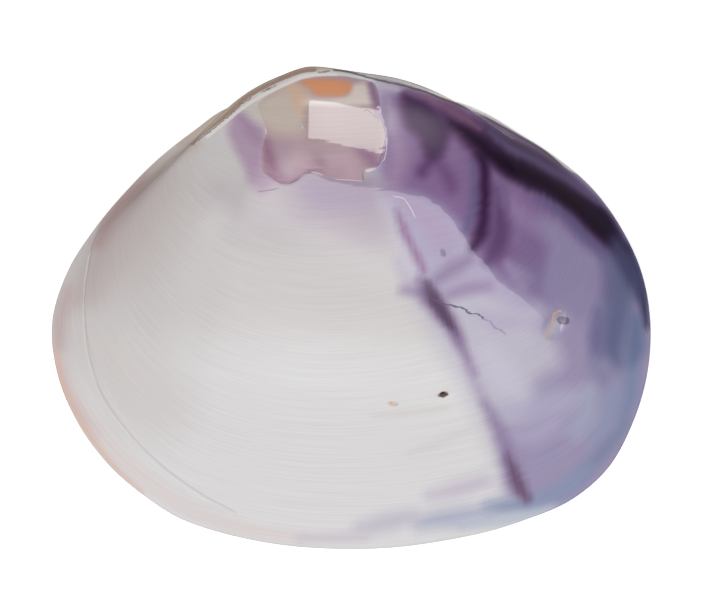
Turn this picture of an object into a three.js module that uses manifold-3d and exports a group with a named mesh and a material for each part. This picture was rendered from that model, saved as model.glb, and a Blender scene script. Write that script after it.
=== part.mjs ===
// The left valve of a freshwater clam, lying on its edge with the polished outer face up.
// Millimetres. +X is the siphon end, +Y is the beak side, +Z is outwards, and the edge rests on z = 0.
// Both faces are one growth spiral: the edge outline shrinks towards a pole on the hinge axis and
// turns over about that axis as it does, so a growth value of 1 is the edge and 0.1 the early shell.

import * as THREE from "three";
import { mergeVertices } from "three/addons/utils/BufferGeometryUtils.js";
import Module from "manifold-3d";

// The edge outline seen from above, counterclockwise from the siphon end, as points on a closed curve.
const EDGE_OUTLINE = [
  [39.9, -1.9], [38.7, 4.8], [35.8, 11.0], [31.9, 16.2], [27.0, 20.3], [22.0, 23.5],
  [17.6, 26.1], [12.8, 27.7], [5.0, 27.8], [-3.0, 27.6], [-11.0, 27.4], [-16.6, 26.7],
  [-21.1, 23.7], [-25.8, 20.0], [-30.1, 15.7], [-34.3, 10.7], [-38.0, 4.9], [-40.1, -1.9],
  [-39.4, -8.9], [-36.7, -15.4], [-32.6, -21.0], [-27.5, -25.4], [-21.9, -28.7],
  [-13.4, -31.1], [-4.5, -32.2], [5.7, -32.1], [16.0, -30.5], [22.9, -28.5], [29.2, -25.8],
  [34.3, -21.4], [37.6, -15.3], [39.5, -8.8],
];
const POLE = new THREE.Vector2(-5.7, 28.2); // the point on the hinge axis that the shell grows from
const MIDDLE = new THREE.Vector2(0, -2); // the inner face draws in from the outline towards this point

const GROWTH_PER_RADIAN = 1.107; // natural log of the growth in one radian of turning
const WIDENING_FRONT = 0.755; // power by which the width follows the growth, in front of the pole
const WIDENING_BACK = 0.545; // and behind it
const FRONT_TO_BACK = 12; // width of the change from one to the other
const BEAK_LEAN = 1.55; // how far the middle growth lies behind the beak
const KEEL = 0.3; // share by which the early shell stands higher under the beak
const KEEL_WIDTH = 22;
const BEAK_TAPER = 0.7; // share by which the first growth narrows at the tip of the beak
const BEAK_TAPER_GROWTH = 0.03;
const BEAK_GROWTH = 0.056; // the beak is rounded off at this growth value
const BEAK_CAP = 0.5;

const EDGE_HEIGHT = 0.5; // the outer face starts this far above the resting plane
const EDGE_ROUND = 0.13; // inset and height of the middle of the rounded edge
const REST_INSET = 0.5; // the flat resting band starts this far in from the outline
const WALL_INSET = 2.4; // the inner face starts this far in, measured along the resting plane
const WALL_POWER = 0.85; // power by which the wall thins towards the beak, more slowly than the shell
const HOLLOW_GROWTH = 0.12; // the hollow under the beak is closed at this growth value
const HOLLOW_CAP = 1.5;

const HINGE_REACH = [-13, -1.5]; // outline height against the pole where the hinge ends and is full
const PLATE_DEPTH = 4; // how much further in the hinge plate reaches
const PLATE_THICKNESS = 1.7;
const PLATE_HEIGHT = 0.9; // its face lies this far above the resting plane
const PLATE_SWELL = [0.3, 0.85]; // growth values between which the plate swells out of the wall

// The underside's rings from the inner face outwards: the share of the way in from the outline and the
// height, each given round the belly and along the hinge. The last is the inner side of the flat band.
const UNDERSIDE = [
  { share: [0.94, 0.99], height: [0.36, 1.5] },
  { share: [0.86, 0.95], height: [0.16, PLATE_HEIGHT] },
  { share: [0.74, 0.34], height: [0.04, PLATE_HEIGHT] },
  { share: [0.68, 0.28], height: [0, 0] },
];

// Step down to the last season's growth, as [share of the way round the outline, growth value].
const LEDGE = [
  [0.46, 1], [0.486, 0.904], [0.52, 0.83], [0.566, 0.853], [0.607, 0.884], [0.651, 0.922],
  [0.707, 0.951], [0.78, 1],
];
const LEDGE_HEIGHT = 0.22;
const LEDGE_FULL = 0.05; // the step has its full height where the growth outside it is this wide
const LEDGE_RUN = 0.004; // width of the step, in growth value
const LEDGE_REST = 0.985; // growth value of its rings where there is no step

// Teeth on the hinge plate: the middle as [x, y], the size, and the angle from +X in degrees.
const TEETH = {
  frontCardinal: { at: [-8.4, 23.7], length: 4.2, width: 1.1, angle: 62 },
  middleCardinal: { at: [-5.9, 23.4], length: 4.4, width: 1.4, angle: 88 },
  backCardinal: { at: [-2.9, 23.5], length: 4.8, width: 1.0, angle: 128 },
  frontLateral: { at: [-16.2, 22.4], length: 8, width: 1.3, angle: 38 },
  backLateral: { at: [14.5, 23.6], length: 16, width: 1.3, angle: -22 },
};
const TOOTH_TIP = 0.15; // the teeth end this far above the resting plane
const TOOTH_ROOT = 1.6;
const TOOTH_BEVEL = 0.3;

// Pits in the outer face: the middle as [x, y], the half sizes along, across and down, and the angle.
const PITS = [
  { at: [27.2, -2.3], half: [2.1, 1.3, 0.45], angle: 62 },
  { at: [12.2, -11.7], half: [0.95, 0.5, 0.4], angle: 8 },
];

// The worn patch on the beak, where the outer layers have flaked off in a step: its outline from above.
const WORN_OUTLINE = [
  [-12.8, 24.9], [-12.0, 20.0], [-10.6, 17.0], [-9.4, 16.6], [-7.2, 17.3], [-5.5, 18.0],
  [-4.2, 17.5], [-2.3, 17.1], [0.3, 17.2], [1.5, 16.9], [1.5, 17.9], [2.8, 18.5], [3.7, 19.6],
  [4.3, 21.5], [4.4, 22.8], [3.9, 25.6], [1.9, 30.4], [-1.6, 31.2], [-6.7, 30.7], [-12.4, 28.4],
];
const WORN_DEPTH = 0.25;
const WORN_FLOOR = 7; // the patch lies between these heights
const WORN_CEILING = 30;

const COLUMNS = 92;
const OUTER_RINGS = 24;
const LAST_SEASON_RINGS = 4;
const INNER_RINGS = 13;

const SHELL_COLOUR = 0xd8d4d8;

const outline = new THREE.CatmullRomCurve3(
  EDGE_OUTLINE.map(([x, y]) => new THREE.Vector3(x, y, 0)),
  true,
  "catmullrom",
);
const { lerp, smoothstep, degToRad } = THREE.MathUtils;
const places = Array.from({ length: COLUMNS }, (_, column) => column / COLUMNS);

// The outline at a place, a share of the way round, drawn in towards the middle by a depth.
function inset(place, depth) {
  const edge = outline.getPoint(place);
  const point = new THREE.Vector2(edge.x, edge.y);
  const inwards = MIDDLE.clone().sub(point).setLength(depth);
  return point.add(inwards);
}

// How much of a hinge there is at a place, from 0 round the belly to 1 under the beak.
function hingeShare(place) {
  return smoothstep(outline.getPoint(place).y - POLE.y, ...HINGE_REACH);
}

// Where a point of the edge plane lay, at an earlier growth value, on the spiral.
function grown(growth, edge) {
  const across = edge.x - POLE.x;
  const turn = -Math.log(growth) / GROWTH_PER_RADIAN;
  const back = 0.5 + 0.5 * Math.tanh(across / FRONT_TO_BACK);
  const width = growth ** lerp(WIDENING_FRONT, WIDENING_BACK, back);
  const taper = 1 - BEAK_TAPER * Math.exp(-growth / BEAK_TAPER_GROWTH);
  const keel = 1 + KEEL * Math.exp(-((across / KEEL_WIDTH) ** 2)) * (1 - growth) ** 2;
  const reach = growth * keel * (edge.y - POLE.y);
  return new THREE.Vector3(
    POLE.x + across * width * taper + BEAK_LEAN * (Math.sqrt(growth) - growth),
    POLE.y + Math.cos(turn) * reach,
    EDGE_HEIGHT - Math.sin(turn) * reach,
  );
}

// A point of the outer face, sunk along its normal by a depth.
function outerPoint(growth, place, depth) {
  const step = 1e-4;
  const here = grown(growth, inset(place, 0));
  const wider = grown(growth * (1 + step), inset(place, 0)).sub(here);
  const along = grown(growth, inset(place + step, 0)).sub(here);
  const outwards = wider.cross(along).normalize();
  return here.addScaledVector(outwards, -depth);
}

// The growth value of the last season's step at a place.
function ledgeGrowth(place) {
  const after = LEDGE.findIndex(([at]) => at > place);
  if (after < 1) return 1;
  const [from, low] = LEDGE[after - 1];
  const [to, high] = LEDGE[after];
  return lerp(low, high, (place - from) / (to - from));
}

// The outer face from the edge to the beak, sunk by a depth, with the last season's step in it.
function outerRings(depth) {
  const rings = [];
  for (let ring = 0; ring < LAST_SEASON_RINGS; ring++) {
    const share = ring / (LAST_SEASON_RINGS - 1);
    rings.push(places.map((place) => {
      const step = ledgeGrowth(place);
      const growth = lerp(1, Math.min(step, LEDGE_REST) + LEDGE_RUN / 2, share);
      const sunk = LEDGE_HEIGHT * Math.min(1, (1 - step) / LEDGE_FULL) * share;
      return outerPoint(growth, place, depth + sunk);
    }));
  }
  for (let ring = 0; ring < OUTER_RINGS; ring++) {
    const share = ring / (OUTER_RINGS - 1);
    rings.push(places.map((place) => {
      const from = Math.min(ledgeGrowth(place), LEDGE_REST) - LEDGE_RUN / 2;
      return outerPoint(lerp(from, BEAK_GROWTH, share), place, depth);
    }));
  }
  return rings;
}

// How far in from the outline the inner face starts at a place.
function innerDepth(place) {
  return WALL_INSET + PLATE_DEPTH * hingeShare(place);
}

// The inner face from the hollow under the beak to the edge, with the hinge plate swelling out of it.
function innerRings() {
  const rings = [];
  for (let ring = 0; ring < INNER_RINGS; ring++) {
    const growth = lerp(HOLLOW_GROWTH, 1, ring / (INNER_RINGS - 1));
    rings.push(places.map((place) => {
      const plate = hingeShare(place) * smoothstep(growth, ...PLATE_SWELL);
      const depth = WALL_INSET / growth ** WALL_POWER + PLATE_DEPTH * plate;
      const point = grown(growth, inset(place, depth));
      point.z += PLATE_THICKNESS * plate;
      return point;
    }));
  }
  return rings;
}

// The underside from the inner face out to the rounded edge.
function restingRings() {
  const rings = UNDERSIDE.map(({ share, height }) => places.map((place) => {
    const hinge = hingeShare(place);
    const point = inset(place, innerDepth(place) * lerp(...share, hinge));
    return new THREE.Vector3(point.x, point.y, lerp(...height, hinge));
  }));
  const flat = ([depth, height]) => places.map((place) => {
    const point = inset(place, depth);
    return new THREE.Vector3(point.x, point.y, height);
  });
  rings.push(flat([REST_INSET, 0]), flat([EDGE_ROUND, EDGE_ROUND]));
  return rings;
}

function centreOf(ring) {
  const sum = ring.reduce((total, point) => total.add(point), new THREE.Vector3());
  return sum.divideScalar(ring.length);
}

// A closed surface through rings with the same number of points, and a tip past each end.
function loft(rings, firstTip, lastTip) {
  const columns = rings[0].length;
  const points = [...rings.flat(), firstTip, lastTip];
  const first = points.length - 2;
  const last = points.length - 1;
  const index = [];
  const at = (ring, column) => ring * columns + (column % columns);
  for (let column = 0; column < columns; column++) {
    index.push(first, at(0, column + 1), at(0, column));
    index.push(last, at(rings.length - 1, column), at(rings.length - 1, column + 1));
    for (let ring = 0; ring + 1 < rings.length; ring++) {
      const near = at(ring, column);
      const far = at(ring + 1, column + 1);
      index.push(near, at(ring, column + 1), far);
      index.push(near, far, at(ring + 1, column));
    }
  }
  const geometry = new THREE.BufferGeometry().setFromPoints(points);
  geometry.setIndex(index);
  return geometry;
}

function beakTip(outer) {
  const tip = centreOf(outer.at(-1));
  tip.y += BEAK_CAP;
  tip.z -= BEAK_CAP;
  return tip;
}

function valveGeometry() {
  const inner = innerRings();
  const outer = outerRings(0);
  const hollow = centreOf(inner[0]);
  hollow.y += HOLLOW_CAP;
  return loft([...inner, ...restingRings(), ...outer], hollow, beakTip(outer));
}

// The whole valve filled in, with its outer face sunk by the depth of the worn patch.
function layerBelowGeometry() {
  const outer = outerRings(WORN_DEPTH);
  return loft(outer, centreOf(outer[0]), beakTip(outer));
}

function wornPrismGeometry() {
  const shape = new THREE.Shape(WORN_OUTLINE.map(([x, y]) => new THREE.Vector2(x, y)));
  const depth = WORN_CEILING - WORN_FLOOR;
  const geometry = new THREE.ExtrudeGeometry(shape, { depth, bevelEnabled: false });
  return geometry.translate(0, 0, WORN_FLOOR);
}

// A leaf-shaped ridge with sloping sides, from the tooth's tip up into the hinge plate.
function toothGeometry({ at, length, width, angle }) {
  const end = length / 2 - TOOTH_BEVEL;
  const side = width - 2 * TOOTH_BEVEL;
  const leaf = new THREE.Shape();
  leaf.moveTo(-end, 0);
  leaf.quadraticCurveTo(0, -side, end, 0);
  leaf.quadraticCurveTo(0, side, -end, 0);
  const geometry = new THREE.ExtrudeGeometry(leaf, {
    depth: TOOTH_ROOT - TOOTH_TIP - TOOTH_BEVEL,
    bevelEnabled: true,
    bevelThickness: TOOTH_BEVEL,
    bevelSize: TOOTH_BEVEL,
    bevelSegments: 1,
    curveSegments: 5,
  });
  geometry.rotateZ(degToRad(angle));
  geometry.translate(...at, TOOTH_TIP + TOOTH_BEVEL);
  return geometry;
}

// An egg-shaped cutter sunk to its middle in the outer face.
function pitGeometry({ at, half, angle }, surface) {
  const geometry = new THREE.SphereGeometry(1, 12, 8);
  geometry.scale(...half);
  geometry.rotateZ(degToRad(angle));
  const above = new THREE.Raycaster(
    new THREE.Vector3(...at, WORN_CEILING),
    new THREE.Vector3(0, 0, -1),
  ).intersectObject(surface)[0];
  const turned = new THREE.Quaternion().setFromUnitVectors(
    new THREE.Vector3(0, 0, 1),
    above.face.normal,
  );
  geometry.applyQuaternion(turned);
  geometry.translate(above.point.x, above.point.y, above.point.z);
  return geometry;
}

const wasm = await Module();
wasm.setup();

// A closed geometry as a solid that can be joined and cut.
function solidOf(geometry) {
  const bare = new THREE.BufferGeometry();
  bare.setAttribute("position", geometry.getAttribute("position"));
  bare.setIndex(geometry.getIndex());
  const merged = mergeVertices(bare, 1e-4);
  return new wasm.Manifold(
    new wasm.Mesh({
      numProp: 3,
      vertProperties: merged.getAttribute("position").array,
      triVerts: new Uint32Array(merged.getIndex().array),
    }),
  );
}

function geometryOf(solid) {
  const { vertProperties, triVerts } = solid.getMesh();
  const geometry = new THREE.BufferGeometry();
  geometry.setAttribute("position", new THREE.BufferAttribute(vertProperties, 3));
  geometry.setIndex(new THREE.BufferAttribute(triVerts, 1));
  return geometry;
}

function valve() {
  const smooth = valveGeometry();
  const surface = new THREE.Mesh(smooth);
  let solid = solidOf(smooth);
  const flakes = solidOf(wornPrismGeometry()).subtract(solidOf(layerBelowGeometry()));
  solid = solid.subtract(flakes);
  for (const tooth of Object.values(TEETH)) solid = solid.add(solidOf(toothGeometry(tooth)));
  for (const pit of PITS) solid = solid.subtract(solidOf(pitGeometry(pit, surface)));
  const geometry = geometryOf(solid);
  geometry.computeBoundingBox();
  const middle = geometry.boundingBox.getCenter(new THREE.Vector3());
  geometry.translate(-middle.x, -middle.y, 0);
  geometry.computeVertexNormals();
  const shell = new THREE.MeshStandardMaterial({ color: SHELL_COLOUR, roughness: 0.2, metalness: 0 });
  const mesh = new THREE.Mesh(geometry, shell);
  mesh.name = "left_valve";
  return mesh;
}

const clam = new THREE.Group();
clam.add(valve());

export default clam;
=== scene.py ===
"""Looks of the freshwater clam shell: a polished left valve lying on its edge, outer face up.

The valve is built again from the CAD's own growth spiral as one fine mesh. Its pigment, with some painted
highlights, shade and reflections, is painted on the mesh as soft strokes along paths in the photograph's
frame, and its cracks, worn patches and some painted highlights and shade as distances that the material
turns into crisp edges. Lengths are millimetres up to the last step, which is metres.
"""

import math

import bpy
import numpy as np
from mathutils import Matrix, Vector


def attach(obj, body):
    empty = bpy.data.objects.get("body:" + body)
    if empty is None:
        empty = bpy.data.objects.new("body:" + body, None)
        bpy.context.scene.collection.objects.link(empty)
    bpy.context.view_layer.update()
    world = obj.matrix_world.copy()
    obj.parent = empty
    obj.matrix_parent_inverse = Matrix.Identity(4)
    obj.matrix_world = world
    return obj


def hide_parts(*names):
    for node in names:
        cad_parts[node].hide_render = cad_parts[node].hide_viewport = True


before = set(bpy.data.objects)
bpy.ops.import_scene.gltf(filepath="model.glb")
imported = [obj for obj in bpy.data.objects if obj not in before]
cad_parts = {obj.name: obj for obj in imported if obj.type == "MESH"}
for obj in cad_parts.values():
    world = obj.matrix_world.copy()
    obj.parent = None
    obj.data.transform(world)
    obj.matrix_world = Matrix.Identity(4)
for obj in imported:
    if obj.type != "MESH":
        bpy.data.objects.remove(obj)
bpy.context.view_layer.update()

METRES = 0.001

# The photograph: 720 x 600 pixels, looking straight down, with the shell's plan origin at this pixel.
PHOTO_SIZE = np.array([720.0, 600.0])
PHOTO_ORIGIN = np.array([352.0, 307.5])
PIXEL = 0.13378  # of the resting plane in one pixel
CAMERA_HEIGHT = 1600.0
SENSOR = 36.0
CLIPPING = (0.1, 10.0)  # metres

# The valve's shape, as in the CAD source. The outline runs anticlockwise from its back end.
EDGE_OUTLINE = [
    (39.9, -1.9), (38.7, 4.8), (35.8, 11.0), (31.9, 16.2), (27.0, 20.3), (22.0, 23.5),
    (17.6, 26.1), (12.8, 27.7), (5.0, 27.8), (-3.0, 27.6), (-11.0, 27.4), (-16.6, 26.7),
    (-21.1, 23.7), (-25.8, 20.0), (-30.1, 15.7), (-34.3, 10.7), (-38.0, 4.9), (-40.1, -1.9),
    (-39.4, -8.9), (-36.7, -15.4), (-32.6, -21.0), (-27.5, -25.4), (-21.9, -28.7),
    (-13.4, -31.1), (-4.5, -32.2), (5.7, -32.1), (16.0, -30.5), (22.9, -28.5), (29.2, -25.8),
    (34.3, -21.4), (37.6, -15.3), (39.5, -8.8),
]
POLE = np.array([-5.7, 28.2])  # what the spiral shrinks to, as it turns about the line along X through it
MIDDLE = np.array([0.0, -2.0])
GROWTH_PER_RADIAN = 1.107
WIDENING_FRONT = 0.755
WIDENING_BACK = 0.545
FRONT_TO_BACK = 12.0
BEAK_LEAN = 1.55
KEEL = 0.3
KEEL_WIDTH = 22.0
BEAK_TAPER = 0.7
BEAK_TAPER_GROWTH = 0.03
BEAK_GROWTH = 0.056
BEAK_CAP = 0.5
EDGE_HEIGHT = 0.5
WALL_INSET = 2.4
WALL_POWER = 0.85
HOLLOW_GROWTH = 0.12
HOLLOW_CAP = 1.5
HINGE_REACH = (-13.0, -1.5)
PLATE_DEPTH = 4.0
PLATE_THICKNESS = 1.7
PLATE_HEIGHT = 0.9
PLATE_SWELL = (0.3, 0.85)
LEDGE = [
    (0.46, 1.0), (0.486, 0.904), (0.52, 0.83), (0.566, 0.853), (0.607, 0.884), (0.651, 0.922),
    (0.707, 0.951), (0.78, 1.0),
]
LEDGE_HEIGHT = 0.22
LEDGE_FULL = 0.05  # the step has its full height where the growth outside it is this wide
LEDGE_RUN = 0.004  # width of the step, in growth value

# The underside from the inner face out: share of the wall's depth and height, round the belly and at the
# hinge, and how many rings lie between this line and the next.
UNDERSIDE = [
    ((0.94, 0.36), (0.99, 1.5), 2),
    ((0.86, 0.16), (0.95, PLATE_HEIGHT), 13),
    ((0.74, 0.04), (0.34, PLATE_HEIGHT), 2),
    ((0.68, 0.0), (0.28, 0.0), 4),
]
REST_INSET = 0.5
REST_RINGS = 2
EDGE_ROUND = 0.13

TEETH = [  # middle x and y, length, width, angle from +X in degrees
    (-8.4, 23.7, 4.2, 1.1, 62), (-5.9, 23.4, 4.4, 1.4, 88), (-2.9, 23.5, 4.8, 1.0, 128),
    (-16.2, 22.4, 8.0, 1.3, 38), (14.5, 23.6, 16.0, 1.3, -22),
]
TOOTH_TIP = 0.15
TOOTH_SLOPE = 1.5
TOOTH_END_SLOPE = 3.0
TOOTH_END = 0.85  # share of the half length from which the crest drops away
TOOTH_ROOT = (1.9, 2.6)  # heights between which a tooth fades into the hollow

# Sampling: more columns where the hinge, the beak's patches and the large pit need them.
FINE_STEPS = 4001
COLUMNS = 332
COLUMN_CROWDS = [(0.29, 0.035, 2.2), (0.74, 0.1, 0.5), (0.911, 0.012, 1.5)]
OUTER_RINGS = 208
RING_CROWDS = [(0.22, 0.1, 0.9)]
INNER_RINGS = 56
INNER_CROWDS = [(1.0, 0.1, 2.0)]


def smooth(low, high, value):
    """0 up to low, 1 from high on, and a smooth step between them."""
    share = np.clip((value - low) / (high - low), 0, 1)
    return share * share * (3 - 2 * share)


def mix(first, second, share):
    return first + (second - first) * share


def crowded(low, high, count, crowds, closed=False):
    """Values from low to high that lie closer together round each (middle, width, extra) crowd."""
    fine = np.linspace(low, high, FINE_STEPS)
    density = 1 + sum(extra * np.exp(-(((fine - at) / width) ** 2)) for at, width, extra in crowds)
    total = np.concatenate([[0], np.cumsum((density[1:] + density[:-1]) / 2)])
    wanted = np.linspace(0, total[-1], count, endpoint=not closed)
    return np.interp(wanted, total, fine)


def spline(a, b, c, d, share):
    """The smooth curve from b to c, with a before it and d after it."""
    return 0.5 * (
        2 * b + (c - a) * share + (2 * a - 5 * b + 4 * c - d) * share**2
        + (3 * b - a - 3 * c + d) * share**3
    )


def catmull_rom(points, places):
    """The closed curve through the points, at shares of the way round."""
    points = np.asarray(points, float)
    at = (places % 1) * len(points)
    first = np.floor(at).astype(int)
    share = (at - first)[:, None]
    around = (points[(first + step) % len(points)] for step in (-1, 0, 1, 2))
    return spline(*around, share)


def inset(places, depth):
    """The outline drawn in towards the middle by a depth, as x and y."""
    edge = catmull_rom(EDGE_OUTLINE, places)
    inwards = MIDDLE - edge
    inwards /= np.linalg.norm(inwards, axis=1, keepdims=True)
    return edge + inwards * np.reshape(depth, (-1, 1))


def hinge_share(places):
    return smooth(*HINGE_REACH, catmull_rom(EDGE_OUTLINE, places)[:, 1] - POLE[1])


def grown(growth, edge):
    """Where points of the edge plane lay at earlier growth values on the spiral."""
    across = edge[:, 0] - POLE[0]
    turn = -np.log(growth) / GROWTH_PER_RADIAN
    back = 0.5 + 0.5 * np.tanh(across / FRONT_TO_BACK)
    width = growth ** mix(WIDENING_FRONT, WIDENING_BACK, back)
    taper = 1 - BEAK_TAPER * np.exp(-growth / BEAK_TAPER_GROWTH)
    keel = 1 + KEEL * np.exp(-((across / KEEL_WIDTH) ** 2)) * (1 - growth) ** 2
    reach = growth * keel * (edge[:, 1] - POLE[1])
    return np.stack([
        POLE[0] + across * width * taper + BEAK_LEAN * (np.sqrt(growth) - growth),
        POLE[1] + np.cos(turn) * reach,
        EDGE_HEIGHT - np.sin(turn) * reach,
    ], axis=1)


def outward_normals(growth, places):
    step = 1e-4
    here = grown(growth, inset(places, 0))
    wider = grown(growth * (1 + step), inset(places, 0)) - here
    along = grown(growth, inset(places + step, 0)) - here
    outwards = np.cross(wider, along)
    return outwards / np.linalg.norm(outwards, axis=1, keepdims=True)


def photo_pixels(points):
    """The pixel of the photograph that shows each point, from a camera straight above its middle."""
    eye = (PHOTO_SIZE / 2 - PHOTO_ORIGIN) * PIXEL * (1, -1)
    nearer = CAMERA_HEIGHT / (CAMERA_HEIGHT - points[:, 2:3])
    return PHOTO_SIZE / 2 + (points[:, :2] - eye) * nearer / PIXEL * (1, -1)


# The rings of the closed surface, from the hollow under the beak, round the edge, to the beak's tip.
places = crowded(0, 1, COLUMNS, COLUMN_CROWDS, closed=True)
inner_growths = crowded(HOLLOW_GROWTH, 1, INNER_RINGS, INNER_CROWDS)


def inner_rings():
    rings = []
    for growth in inner_growths:
        plate = hinge_share(places) * smooth(*PLATE_SWELL, growth)
        depth = WALL_INSET / growth**WALL_POWER + PLATE_DEPTH * plate
        points = grown(growth, inset(places, depth))
        points[:, 2] += PLATE_THICKNESS * plate
        rings.append(points)
    return rings


def underside_rings():
    hinge = hinge_share(places)
    full_depth = WALL_INSET + PLATE_DEPTH * hinge
    lines = []
    for belly, back, rings in UNDERSIDE:
        share, height = (mix(low, high, hinge) for low, high in zip(belly, back))
        lines.append((full_depth * share, height, rings))
    lines.append((np.full(COLUMNS, REST_INSET), np.zeros(COLUMNS), REST_RINGS))
    lines.append((np.full(COLUMNS, EDGE_ROUND), np.full(COLUMNS, EDGE_ROUND), 1))
    lines.append((np.zeros(COLUMNS), np.full(COLUMNS, EDGE_HEIGHT), 0))
    rings = []
    for (depth, height, count), (next_depth, next_height, _) in zip(lines, lines[1:]):
        for share in np.arange(count) / count:
            plan = inset(places, mix(depth, next_depth, share))
            rings.append(np.column_stack([plan, mix(height, next_height, share)]))
    return rings


def sink_below_teeth(points):
    """The hinge teeth, as ridges that stand down from the plate."""
    height = points[:, 2]
    on_plate = 1 - smooth(*TOOTH_ROOT, height)
    for x, y, length, width, angle in TEETH:
        turned = math.radians(angle)
        away = points[:, :2] - (x, y)
        along = np.abs(away @ (math.cos(turned), math.sin(turned))) / (length / 2)
        across = np.abs(away @ (-math.sin(turned), math.cos(turned)))
        crest = width / 4 * np.clip(1 - along**2, 0, 1) ** 0.5
        ridge = TOOTH_TIP + TOOTH_SLOPE * np.clip(across - crest, 0, None)
        ridge += TOOTH_END_SLOPE * np.clip(along - TOOTH_END, 0, None)
        height[:] = np.where(ridge < height, mix(height, ridge, on_plate), height)


growths = crowded(BEAK_GROWTH, 1, OUTER_RINGS, RING_CROWDS)[::-1]
outer_growth = np.repeat(growths, COLUMNS)
outer_place = np.tile(places, OUTER_RINGS)
outer_smooth = grown(outer_growth, inset(outer_place, 0))
outer_normal = outward_normals(outer_growth, outer_place)
outer_pixel = photo_pixels(outer_smooth)


# Paths and noise.
FAR = 400.0
REACH = 40.0  # px, the longest distance to an area that is kept
TINY = 1e-6  # a difference that only rounding makes
LATTICE = 64  # values of noise each way before it repeats


def curve(points, closed=False, steps=4):
    """A smooth path through given points, which carries any further column along, such as a width."""
    points = np.asarray(points, float)
    if closed:
        padded = np.vstack([points[-1:], points, points[:2]])
    else:
        padded = np.vstack([2 * points[:1] - points[1:2], points, 2 * points[-1:] - points[-2:-1]])
    found = []
    for around in zip(padded, padded[1:], padded[2:], padded[3:]):
        for share in np.arange(steps) / steps:
            found.append(spline(*around, share))
    found.append(found[0] if closed else points[-1])
    return np.array(found)


def nearest(at, path):
    """Each point's distance to a path, its side, how far along it lies, and the half width there."""
    best = np.full(len(at), FAR)
    best_off = np.zeros(len(at))
    side = np.ones(len(at))
    along = np.zeros(len(at))
    half = np.zeros(len(at))
    passed = 0.0
    for start, end in zip(path, path[1:]):
        step = end[:2] - start[:2]
        size = math.hypot(*step)
        if size == 0:
            continue
        away = at - start[:2]
        share = np.clip(away @ step / size**2, 0, 1)
        gap = away - share[:, None] * step
        distance = np.hypot(gap[:, 0], gap[:, 1])
        off = (step[0] * away[:, 1] - step[1] * away[:, 0]) / size
        tied = np.abs(distance - best) < TINY
        nearer = (distance < best - TINY) | (tied & (np.abs(off) > best_off))
        best = np.where(nearer, distance, best)
        best_off = np.where(nearer, np.abs(off), best_off)
        side = np.where(nearer, np.sign(off), side)
        along = np.where(nearer, passed + share * size, along)
        if path.shape[1] > 2:
            half = np.where(nearer, mix(start[2], end[2], share), half)
        passed += size
    return best, side, along, half


def inside(at, path):
    """Whether each point lies in a closed path."""
    found = np.zeros(len(at), bool)
    for (ax, ay), (bx, by) in zip(path[:, :2], path[1:, :2]):
        if ay == by:
            continue
        crosses = (ay > at[:, 1]) != (by > at[:, 1])
        found ^= crosses & (at[:, 0] < ax + (at[:, 1] - ay) * (bx - ax) / (by - ay))
    return found


def near_box(at, path, margin):
    low = path[:, :2].min(axis=0) - margin
    high = path[:, :2].max(axis=0) + margin
    return np.flatnonzero(((at > low) & (at < high)).all(axis=1))


def area_distance(at, points, reach=REACH):
    """Signed distance to a closed path, negative inside."""
    path = curve(points, closed=True)
    signed = np.full(len(at), reach)
    some = near_box(at, path, reach)
    distance = nearest(at[some], path)[0]
    signed[some] = np.where(inside(at[some], path), -distance, np.minimum(distance, reach))
    return signed


def noise(at, seed):
    """Smooth noise from -1 to 1 on a lattice with one value per unit."""
    lattice = np.random.RandomState(seed).uniform(-1, 1, (LATTICE, LATTICE))
    cell = np.floor(at).astype(int)
    share = at - cell
    share = share * share * (3 - 2 * share)
    x0, y0 = cell[:, 0] % LATTICE, cell[:, 1] % LATTICE
    x1, y1 = (x0 + 1) % LATTICE, (y0 + 1) % LATTICE
    low = mix(lattice[x0, y0], lattice[x1, y0], share[:, 0])
    high = mix(lattice[x0, y1], lattice[x1, y1], share[:, 0])
    return mix(low, high, share[:, 1])


# Pigment, with some painted shade, highlights and reflections, as sRGB values. A stroke has a colour, a
# strength, a softness and a path, all in photo pixels: a LINE's points are x, y and half width, and an
# AREA's points are its closed outline.
LINE = "line"
AREA = "area"

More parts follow.
